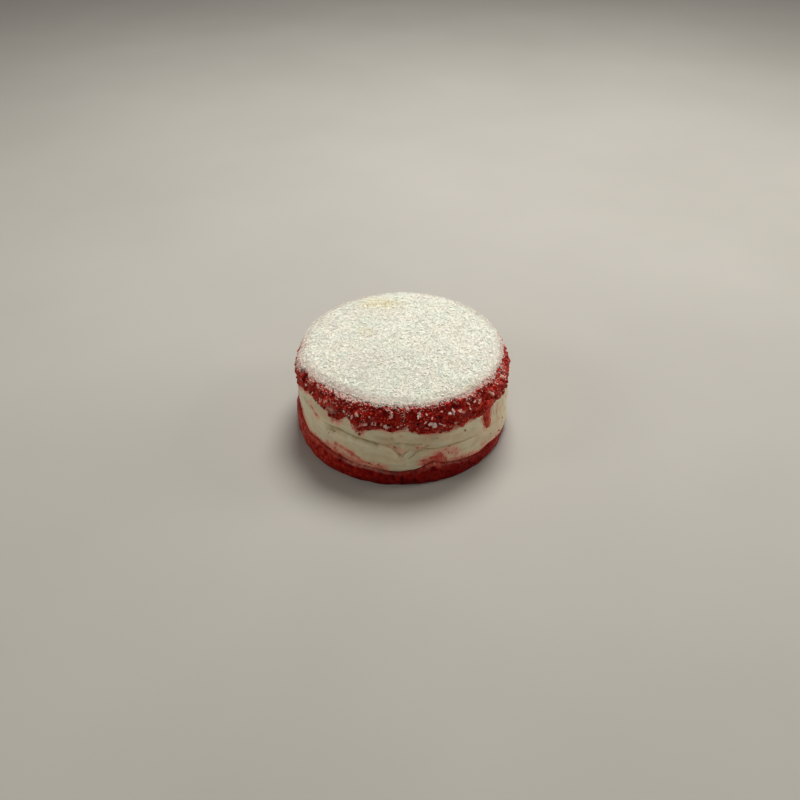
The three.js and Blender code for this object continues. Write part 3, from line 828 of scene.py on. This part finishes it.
def lower_layer(look):
    edge = lower_edge(ROUND) + wall_bumps(ROUND, LOWER_TOP, FINE_EDGE, FINEST_EDGE)
    height = heights(0.15, edge - 0.5, LOWER_ROWS)
    relief = lower_relief(ROUND, height)
    corner = 0.5 * smooth(edge - 1.4, edge - 0.4, height)
    radius = lower_radius(ROUND, height) + relief * smooth(0, 0.8, height) - corner
    last = radius[-1]
    rows = stacked(
        (RIM_START, 0), (radius[0] - 0.3, 0), (radius, height), (last - 0.45, edge - 0.15),
        (last - 1.3, edge), (last - 3.5, blend(edge, LOWER_TOP, 0.5)), (RIM_START, LOWER_TOP),
    )
    # Painted shade and light: the crumb's hollows are darker and its lumps lighter.
    tone_with_shading = lower_tone_and_shade(ROUND, height) + 0.7 * relief
    marks = {"relief": tone_with_shading, "smear": ledge_smears(ROUND, edge - height)}
    add_layer("lower_sponge_layer", look, "lower_sponge", rows, 2, marks)


def lower_tone_and_shade(angle, height):
    """How light the lower crumb is: painted shade makes it dark in front and along its foot, and painted
    light makes it lighter at the left.
    """
    fresh = hill((RED_PATCH_AT, 6, 0.28), angle) * smooth(8, 11.5, height)
    return 0.42 + hills(LOWER_LIGHTS, angle) - 0.14 * smooth(5, 0, height) + fresh


def ledge_smears(angle, depth):
    """Cream on the lower sponge's ledge, and cream rubbed into its crumb below the red patch."""
    patchy = 0.75 + wall_bumps(angle, 12, (2.6, 0.35))
    rubbed = hill((RED_PATCH_AT, 6, 0.4), angle) * smooth(3, 0.6, depth)
    rubbed = rubbed * (0.6 + wall_bumps(angle, 12 - depth, (1.3, 0.7)))
    ledge = hills(LEDGE_SMEARS, angle) * patchy * smooth(1.2, 0.2, depth)
    return held(np.maximum(ledge, rubbed))


def smear_strength(angle, height):
    """How red the cream is: the shown strokes, others on the far side, and the stained rims."""
    strength = np.zeros(np.broadcast(angle, height).shape)
    frayed = wall_bumps(angle, height, (1.9, 0.5), (0.8, 0.3))
    for width, most, *points in SMEARS + hidden_smears():
        distance = to_stroke(angle, height, points) + frayed * width
        strength = np.maximum(strength, most * fading(distance, width))
    patchy = 0.85 + wall_bumps(angle, height + 30, (2.4, 0.3)) + wall_bumps(angle, height, (0.9, 0.2))
    strength = strength * np.clip(patchy, 0.4, 1.25)
    fine = wall_bumps(angle, height, (1.1, 0.6))
    rise = height - lower_edge(angle) - wall_bumps(angle, height, (3.5, 0.8)) - fine
    rim = np.clip(hills(STAINED_RIM, angle), 0, 0.8)
    strength = np.maximum(strength, rim * fading(rise, 2 + hill((-146, 20, 0.2), angle)))
    drop = upper_edge(angle) - height - wall_bumps(angle, height + 9, (3.1, 0.9)) - fine
    return np.maximum(strength, (0.36 + hills(STAINED_TOP, angle)) * fading(drop, 0.9))


def hidden_smears():
    random = np.random.default_rng(SEED)
    made = []
    for n in range(HIDDEN_SMEARS):
        at = -14 + 15.5 * (n + random.random())
        if random.random() < 0.35:
            low = upper_edge(at) - 3 - 3 * random.random()
        else:
            low = lower_edge(at) + 1 + 5 * random.random()
        reach, rise = 3 + 5 * random.random(), 2.5 * (random.random() - 0.5)
        width = 0.6 + 1.3 * random.random() ** 2
        made.append((width, 0.35 + 0.6 * random.random(), at, low, at + reach, low + rise))
    return made


def cream_shade(angle, height):
    """Where the cream is painted browner, as painted shade: above the fold and beside the red patch."""
    above = bell(height - fold_height(angle) - 2.4, 3.2)
    beside = hill((-67, 8, 0.26), angle) * bell(height - 18, 4)
    return held(hills(CREAM_SHADES, angle) * above + beside)


def cream_layer(look):
    low, high = lower_edge(ROUND) - 0.9, upper_edge(ROUND) + 1.3
    height = heights(low, high, CREAM_ROWS)
    relief = cream_relief(ROUND, height)
    groove_shade = 0.4 * fold_strength(ROUND) * fold_groove(ROUND, height)
    lip = held(hills(LEDGE_SMEARS, ROUND))
    tuck = (0.9 - 1.7 * lip) * smooth(lower_edge(ROUND) + blend(0.7, 2.4, lip), low, height)
    tuck = tuck + 1.3 * smooth(upper_edge(ROUND) - 0.8, high, height)
    radius = cream_radius(ROUND, height) + relief - tuck
    rows = stacked((RIM_START, LOWER_TOP - 0.5), (radius, height), (RIM_START, CREAM_TOP + 0.5))
    # The relief mark paints the creases, pits and fold groove darker: painted shade.
    marks = {
        "relief": held(0.5 + 0.8 * (relief - groove_shade)),
        "stain": smear_strength(ROUND, height),
        "shade": cream_shade(ROUND, height),
    }
    add_layer("cream_layer", look, "cream_filling", rows, 1, marks)


def creamy_patch(angle, height):
    """The patch at the left where cream is rubbed thickly into the red crumb."""
    at, middle = CREAM_PATCH
    return spot(turn(at, angle), height - middle, 3.4, 2.8)


def upper_smears(angle, height):
    """Cream rubbed into the red crumb, near the seam and at the left."""
    seam = 0.5 * fading(height - upper_edge(angle), 1)
    seam = seam * smooth(0, 0.5, wall_bumps(angle, height, (7, 1)))
    return np.maximum(0.85 * creamy_patch(angle, height), seam)


def upper_layer(look):
    edge = upper_edge(ROUND) + wall_bumps(ROUND, CREAM_TOP, FINE_EDGE, FINEST_EDGE)
    height = heights(edge + 0.2, UPPER_TOP + 0.1, UPPER_ROWS)
    relief = upper_relief(ROUND, height)
    rounding = (0.5 + hill((170, 24, 0.9), ROUND)) * smooth(UPPER_TOP - 1.2, UPPER_TOP + 0.1, height)
    radius = upper_radius(ROUND, height) + relief - rounding
    inner = COCONUT_RADIUS - 3
    rows = stacked(
        (RIM_START, CREAM_TOP), (radius[0] - 1.4, edge + 0.1), (radius[0] - 0.4, edge), (radius, height),
        (radius[-1] - 0.7, UPPER_TOP + 0.3), (inner, dome_height(inner) - 0.1),
        (inner * 0.5, dome_height(inner * 0.5) - 0.1),
    )
    # Painted light and shade: lighter at the sides in UPPER_LIGHTS, darker in the crumb's hollows and
    # lighter on its lumps.
    tone_with_shading = held(0.45 + hills(UPPER_LIGHTS, ROUND) + 0.45 * relief)
    marks = {"relief": tone_with_shading, "smear": upper_smears(ROUND, height)}
    add_layer("upper_sponge_layer", look, "upper_sponge", rows, 3, marks)


def yellow_patches(x, y):
    """Slightly toasted patches at the back and along the right of the front rim."""
    back = spot(x + 11, y - 41, 11, 6)
    front = spot(x - 38, y + 39.5, 8, 6) * smooth(50, 54, np.hypot(x, y))
    middle = 0.5 * spot(x + 19, y - 12, 4, 4)
    return 1.3 * held(back + front + middle)


def frayed_rim(angle):
    """The coconut's rim. It ends on the sponge, so it hardly hangs over the shoulder."""
    rim = coconut_rim(angle) - 0.1 + hills(RIM_SHIFTS, angle)
    rim = rim + wall_bumps(angle, UPPER_TOP, (1.7, 0.6))
    shoulder = upper_radius(angle, UPPER_TOP) + 0.25
    return np.minimum(rim, shoulder + wall_bumps(angle, UPPER_TOP, (1.3, 0.4)))


def rim_pink_and_shade(x, y):
    """How much darker and pinker the coconut is painted towards its rim, most of all at the left: partly
    the red showing through, partly painted shade.
    """
    angle, share = to_rim(x, y, frayed_rim)
    side = 0.35 + 0.65 * held(hills(PINK_AND_SHADED_SIDES, angle))
    return side * (1 - 0.7 * smooth(0, 25, y)) * smooth(0.86, 1, share)


def rosiness_and_shade(x, y):
    """How far the red shows between the last grains at the rim, plus a darker pink towards the rim at
    the left that is partly painted shade.
    """
    angle, share = to_rim(x, y, frayed_rim)
    start = 0.97 - 0.02 * hill((-121, 17, 1), angle)
    last = 0.75 * smooth(start, start + 0.03, share + 0.015 * bumps(x / 1.6, y / 1.6, 9.5))
    return np.maximum(last * (1 - 0.8 * smooth(-5, 20, y)), 0.25 * rim_pink_and_shade(x, y))


def coconut_bed(look):
    """The coconut under the loose grains: a disc of rings, each with six more corners than the last."""
    points, faces, inner_first = [np.zeros((1, 2))], [], 0
    for ring in range(1, BED_RINGS + 1):
        step = np.arange(6 * ring)
        angle = step * 60 / ring
        points.append(on_top(frayed_rim(angle) * ring / BED_RINGS, angle).T)
        first = 1 + 3 * ring * (ring - 1)
        inner, inner_count = step - step // ring, max(6 * (ring - 1), 1)
        a, b = first + step, first + (step + 1) % (6 * ring)
        c, d = inner_first + inner % inner_count, inner_first + (inner + 1) % inner_count
        faces += [joined(a, b, c), joined(b, d, c)[step % ring != ring - 1]]
        inner_first = first
    x, y = np.concatenate(points).T
    fine = 0.07 * bumps(x / 1.1 + 40, y / 1.1, 0.3) + 0.05 * bumps(x / 0.6, y / 0.6 + 70, 0.8)
    top = np.column_stack([x, y, coconut_height(x, y) - 0.26 + fine])
    rim = top[-6 * BED_RINGS:]
    steps, foot = len(rim), UPPER_TOP - 0.1
    start, below = len(top) - steps, len(top)
    step = np.arange(steps)
    ahead = (step + 1) % steps
    faces += [
        joined(start + step, below + step, below + ahead),
        joined(start + step, below + ahead, start + ahead),
        joined(below + step, below + steps, below + ahead),
    ]
    whole = np.concatenate([top, joined(rim[:, 0] * 1.007, rim[:, 1] * 1.007, foot), [[0, 0, foot]]])
    x, y = whole[:, :2].T
    marks = grain_marks(0.5 + 0.3 * bumps(x / 1.3, y / 1.3, 2.5), yellow_patches(x, y), rosiness_and_shade(x, y))
    add_piece("coconut_bed", whole, np.concatenate(faces), look, ["coconut_topping"], marks)


def tongue(look):
    """The wet tongue of crumb that hangs from the upper sponge over the cream."""
    shape, faces = ball_shape(4)
    share = fade(shape[:, 2] + 0.5)
    height = blend(TONGUE_BOTTOM, TONGUE_TOP + 2, share)
    sway = 0.35 * np.sin(height * 0.55) + 0.2 * np.sin(height * 1.7)
    width = blend(0.95, 1.5, smooth(0.4, 1, share)) - 0.12 * bell(share - 0.42, 0.12)
    across = shape[:, 0] * TONGUE_WIDTH * width
    across = across * (1 + 0.2 * bumps(shape[:, 1] * 3, height / 1.9, 0.5)) + sway
    out = shape[:, 1] * TONGUE_DEPTH * 2 * (1 + 0.2 * bumps(shape[:, 0] * 3, height / 2.2, 7.5))
    angle = TONGUE_AT + np.degrees(across / FOOT_RADIUS) + 0.6 * (share - 0.3)
    over_cream = cream_radius(TONGUE_AT, np.minimum(height, 34)) + 0.35
    over_sponge = upper_radius(TONGUE_AT, np.maximum(height, 34)) - 0.1
    bed = blend(over_cream, over_sponge, smooth(31.5, 36, height))
    grit = 0.22 * bumps(across / 1.2 + 50, out / 1.2, height / 1.2)
    points = around(bed + out + grit, angle, height)
    # The lighter band 26.5 mm up is a painted highlight.
    tone_with_shading = 0.5 + 0.35 * bumps(across / 1.4, out, height / 1.6) + 0.3 * bell(height - 26.5, 1.3)
    add_piece("wet_tongue", points, faces, look, marks={"relief": tone_with_shading, "smear": 0 * height})


# Scattered things


def wall_normals(angle):
    return around(1, angle, 0)


def on_top(radius, angle):
    return around(radius, angle, 0)[:, :2].T


def upper_spot(angle, height, sunk):
    """Points on the red side, a little sunk in. Above the shoulder they move inwards instead."""
    over = np.maximum(height - UPPER_TOP, 0)
    height = np.minimum(height, UPPER_TOP)
    inside = smooth(0, 1.5, over)
    out = (upper_relief(angle, height) - sunk) * (1 - inside)
    radius = upper_radius(angle, height) + out - over
    return around(radius, angle, height + np.minimum(0.5 * over, 0.35) - inside * sunk)


def sponge_crumbs(look):
    """Loose lumps of crumb that stand out of the red side, most of them along its ragged edges."""
    draw = Draws(SEED + 1, CRUMBS)
    angle, share = draw.directions(), draw.share()
    share = np.where(draw.share() < 0.35, 0.16 * share, share)
    highest = UPPER_TOP - 1.6 + hills(CRUMBS_RISE, angle)
    height = blend(upper_edge(angle) + 0.1, highest, share)
    size = draw.between(0.7, 2.4, 1.6) * blend(1, 0.6, smooth(41, 46, height))
    size = size * (1 + hills(COARSE_CRUMBS, angle) - 0.7 * creamy_patch(angle, height))
    sizes = size[:, None] * draw.between(0.75, 1.3, 1, 3)
    balls, turns = draw.balls(1, 0.4), draw.tumbled()
    # Crumbs near the top are painted darker, to hold back the light they catch: painted shade.
    tone_with_shading = 0.3 + 0.48 * draw.share() * smooth(47.5, 44.5, height)
    marks = {"relief": tone_with_shading, "smear": 0.25 * draw.share(4)}
    spots = upper_spot(angle, height, 0.2 * size)
    lay("sponge_crumbs", look, balls, spots, wall_normals(angle), sizes, turns, marks)


def cream_crumbs(look):
    """Small red crumbs on the cream: single ones, those in the smears and those under the sponge."""
    draw = Draws(SEED + 2, CREAM_CRUMB_TRIES)
    angle = draw.directions()
    height = draw.between(lower_edge(angle) + 0.3, upper_edge(angle) - 0.2)
    chance = np.minimum(smear_strength(angle, height), 0.8) ** 2.2 * 0.16
    kept = draw.share() < chance
    draw.count = np.count_nonzero(kept)
    crumbs = np.column_stack([angle[kept], height[kept], draw.between(0.3, 0.95, 2)])
    angle, height, size = np.concatenate([crumbs, CREAM_SPECKS]).T
    draw.count = len(size)
    sizes = size[:, None] * draw.between(0.7, 1.3, 1, 3)
    balls, turns = draw.balls(1, 0.38), draw.tumbled()
    marks = {"relief": 0.1 + 0.5 * draw.share(), "smear": 0.4 * draw.share()}
    radius = cream_radius(angle, height) + cream_relief(angle, height)
    spots = around(radius, angle, height)
    lay("cream_crumbs", look, balls, spots, wall_normals(angle), sizes, turns, marks)


def slopes(x, y):
    """Outward normals of the coconut's surface."""
    step = 0.4
    across = (coconut_height(x + step, y) - coconut_height(x - step, y)) / (2 * step)
    along = (coconut_height(x, y + step) - coconut_height(x, y - step)) / (2 * step)
    return unit(np.column_stack([-across, -along, np.ones(len(x))]))


def grain_marks(tint, yellow=0, rosy_and_shade=0):
    return {"tint": tint, "yellow": yellow, "rosy_and_shade": rosy_and_shade}


def coconut_grains(look):
    """Fine grated grains all over the top."""
    draw = Draws(SEED + 3, GRAINS)
    angle, share = draw.directions(), np.sqrt(draw.share())
    share = np.where(draw.share() < 0.05, draw.between(0.95, 1), share)
    x, y = on_top((frayed_rim(angle) + 0.5) * share, angle)
    fallen = 1.3 * draw.share() * smooth(0.982, 0.996, share)
    spots = np.column_stack([x, y, coconut_height(x, y) - 0.2 + 0.1 * draw.share() - fallen])
    sizes = draw.sizes((0.5, 1.35, 1.5), (0.26, 0.46), (0.05, 0.11))
    spin, lean, roll = draw.lying(0.06, 0.09)
    turns = spin, lean * blend(1, 5, smooth(0.96, 1, share)), roll
    # Grains at the left and towards the rim are painted darker and pinker: partly the red showing,
    # partly painted shade.
    rim_darkening, left = rim_pink_and_shade(x, y), smooth(-12, -50, x)
    tint = draw.between(0.3, 0.95) - 0.3 * rim_darkening - 0.15 * left
    blush_and_shade = draw.share() * (0.16 * left + 0.4 * rim_darkening)
    marks = grain_marks(tint, yellow_patches(x, y), blush_and_shade)
    lay("coconut_grains", look, grain_shape(), spots, slopes(x, y), sizes, turns, marks)


def coconut_shreds(look):
    """Longer bowed shreds among the grains."""
    draw = Draws(SEED + 4, SHREDS)
    angle, share = draw.directions(), np.sqrt(draw.share())
    x, y = on_top((frayed_rim(angle) - 0.3) * share, angle)
    spots = np.column_stack([x, y, coconut_height(x, y) - 0.1 + 0.1 * draw.share()])
    sizes = draw.sizes((1.3, 3.2, 1.8), (0.28, 0.5), (0.1, 0.18))
    turns, strip = draw.lying(0.09, 0.22), strip_shape(5, 0.6)
    marks = grain_marks(draw.between(0.35, 1), yellow_patches(x, y))
    lay("coconut_shreds", look, strip, spots, slopes(x, y), sizes, turns, marks, True)


def spilled_grains(look):
    """Grains outside the coconut's rim: thick on the shoulder, thinning out down the red side."""
    draw = Draws(SEED + 5, SPILL_TRIES)
    angle, way = draw.directions(), draw.between(-0.8, 12)
    reach = 1.6 + hills(SPILLS, angle) / 2
    chance = np.exp(-((np.maximum(way, 0) / reach) ** 1.6))
    gaps = wall_bumps(angle, 46 - way, (1.6, 1), (4.5, 0.5))
    gaps = gaps + hill((-121, 9, 0.4), angle) * smooth(6, 4, way)
    chance = chance * blend(0.15, 1, smooth(-0.35, 0.25, gaps + 2 * smooth(1.1, 0, way)))
    chance = chance * (1 - hill((-123, 15, 0.3), angle) * smooth(-0.5, 0.5, way))
    kept = draw.share() < chance
    angle, way = angle[kept], way[kept]
    draw.count = len(way)
    height = UPPER_TOP - way + upper_radius(angle, UPPER_TOP) - frayed_rim(angle)
    height = np.maximum(height, upper_edge(angle) + 0.6)
    spots = upper_spot(angle, height, -0.14)
    spots[:, 2] += 0.9 * draw.share() * smooth(0.9, 0, way)
    sizes = draw.sizes((0.45, 1.4, 1.8), (0.3, 0.6), (0.16, 0.34))
    turns = draw.lying(0.5, 0.6)
    lift = 0.7 + 2 * smooth(-1, 0.5, height - UPPER_TOP)
    normals = unit(wall_normals(angle) + np.outer(lift, UP))
    # Grains near the rim are whiter: partly less stained, partly painted light for grains that stand out
    # into the light.
    tint = draw.between(0.2, 1) + 0.5 * smooth(4, 0, way)
    marks = grain_marks(np.clip(tint + hill((-118, 11, 0.12), angle), 0, 1.1))
    lay("spilled_grains", look, grain_shape(), spots, normals, sizes, turns, marks)


def coconut_dust(look):
    """Tiny stained grains all over the red side."""
    draw = Draws(SEED + 7, DUST)
    angle = draw.directions()
    height = draw.between(upper_edge(angle) + 0.2, UPPER_TOP, 0.85)
    spots, normals = upper_spot(angle, height, -0.04), wall_normals(angle)
    sizes = draw.sizes((0.3, 1, 2), (0.2, 0.4), (0.14, 0.28))
    turns = draw.lying(0.5, 0.6)
    marks = grain_marks(0.05 + 0.5 * draw.share(1.6) * (1 - hill((-160, 20, 0.7), angle)))
    lay("coconut_dust", look, grain_shape(), spots, normals, sizes, turns, marks)


def side_flakes(look):
    """Flakes that stick to the red side, the shown ones and others by a rule, each of a few chips."""
    draw = Draws(SEED + 6, RULED_FLAKES)
    order = np.arange(RULED_FLAKES)
    at, length = order * GOLDEN_TURN, draw.between(0.9, 3.2, 1.8)
    lowest = upper_edge(at) + length / 2 + 0.5
    height = blend(lowest, UPPER_TOP - 1.4, (order * GOLDEN_RATIO) % 1)
    width = length * draw.between(0.35, 0.65)
    ruled = np.column_stack([at, height, length, width, 180 * draw.share(), draw.between(0.1, 0.7)])
    ruled = ruled[hill((-160, 20, 1), at) < draw.share()]
    flakes = np.concatenate([SHOWN_FLAKES, ruled])
    flakes = np.repeat(flakes, 3 + flakes[:, 2].astype(int), axis=0)
    angle, height, length, width, tilt, tint = flakes.T
    draw.count = len(angle)
    along = length * 0.32 * (2 * draw.share() - 1)
    across = width * 0.28 * (2 * draw.share() - 1)
    tilt = np.radians(tilt)
    angle = angle + np.degrees((along * np.cos(tilt) - across * np.sin(tilt)) / UPPER_RADIUS)
    height = np.minimum(height + along * np.sin(tilt) + across * np.cos(tilt), UPPER_TOP - 0.3)
    sizes = draw.sizes((0.3, 0.62), (0.4, 0.85), (0.3, 0.55))
    sizes = sizes * np.column_stack([length, width, np.ones(len(width))])
    balls = draw.balls(0, 0.35)
    normals = wall_normals(angle)
    side, ahead = flat_axes(normals)
    tilt = (tilt + draw.spread(0.35))[:, None]
    wanted = np.cos(tilt) * wall_normals(angle + 90) + np.sin(tilt) * UP
    spin = np.arctan2((wanted * ahead).sum(1), (wanted * side).sum(1))
    spots = around(upper_radius(angle, height) + draw.between(0.25, 0.7), angle, height)
    turns = spin, draw.spread(0.25), draw.spread(0.4)
    marks = grain_marks(np.clip(tint + 0.15 + draw.spread(0.12), 0, 0.88))
    lay("side_flakes", look, balls, spots, unit(normals + 0.8 * UP), sizes, turns, marks)


# Light, floor and camera


KEY_COLOUR = (1, 0.975, 0.93)
FILL_COLOUR = (1, 0.95, 0.86)
LIT_POINT = (0, 0, 0.03)
FLOOR_REACH = 6
CAMERA_PLACE = (-0.00096, -0.363625, 0.29404)
CAMERA_PITCH = 38
CAMERA_ROLL = -0.54
CAMERA_LENS = 36


def area_light(name, place, size, power, colour):
    lamp = bpy.data.lights.new(name, "AREA")
    lamp.shape = "DISK"
    lamp.size = size
    lamp.energy = power
    lamp.color = colour
    piece = link(bpy.data.objects.new(name, lamp))
    piece.location = place
    away = Vector(place) - Vector(LIT_POINT)
    piece.rotation_euler = away.to_track_quat("Z", "Y").to_euler()


def studio():
    world = bpy.data.worlds.new("studio")
    bpy.context.scene.world = world
    world.use_nodes = True
    background = world.node_tree.nodes["Background"]
    background.inputs["Color"].default_value = (1, 0.965, 0.9, 1)
    background.inputs["Strength"].default_value = 0.2
    area_light("key", (0.14, 0.46, 0.95), 0.5, 10.3, KEY_COLOUR)
    area_light("left", (-0.94, -0.24, 0.65), 0.35, 1.5, FILL_COLOUR)
    area_light("right", (0.95, 0.17, 0.56), 0.35, 2.3, FILL_COLOUR)
    bpy.context.scene.view_settings.view_transform = "Standard"


def floor():
    mesh = bpy.data.meshes.new("floor")
    corners = [(-1, -1), (1, -1), (1, 1), (-1, 1)]
    mesh.from_pydata([(x * FLOOR_REACH, y * FLOOR_REACH, 0) for x, y in corners], [], [(0, 1, 2, 3)])
    mesh.materials.append(floor_look())
    link(bpy.data.objects.new("floor", mesh))


def camera():
    lens = bpy.data.cameras.new("camera")
    lens.sensor_width = 36
    lens.lens = CAMERA_LENS
    lens.clip_start = 0.01
    piece = link(bpy.data.objects.new("camera", lens))
    tip = Matrix.Rotation(np.radians(90 - CAMERA_PITCH), 4, "X")
    roll = Matrix.Rotation(np.radians(CAMERA_ROLL), 4, "Z")
    piece.matrix_world = Matrix.Translation(CAMERA_PLACE) @ tip @ roll
    bpy.context.scene.camera = piece


camera()
studio()
floor()

sponge = sponge_look("sponge_look", FRESH_REDS)
coconut = coconut_look("coconut_look", WHITES)
stained_coconut = coconut_look("stained_coconut_look", PINKS)

# The lower sponge takes the darker reds, as painted shade.
lower_layer(sponge_look("shaded_sponge_look", SHADED_REDS, 0.08))
cream_layer(cream_look())
upper_layer(sponge)
tongue(sponge_look("wet_sponge_look", WET_REDS, 0.3, 0.25))
coconut_bed(coconut)
coconut_grains(coconut)
coconut_shreds(coconut)
spilled_grains(stained_coconut)
coconut_dust(stained_coconut)
side_flakes(stained_coconut)
sponge_crumbs(sponge)
cream_crumbs(sponge)
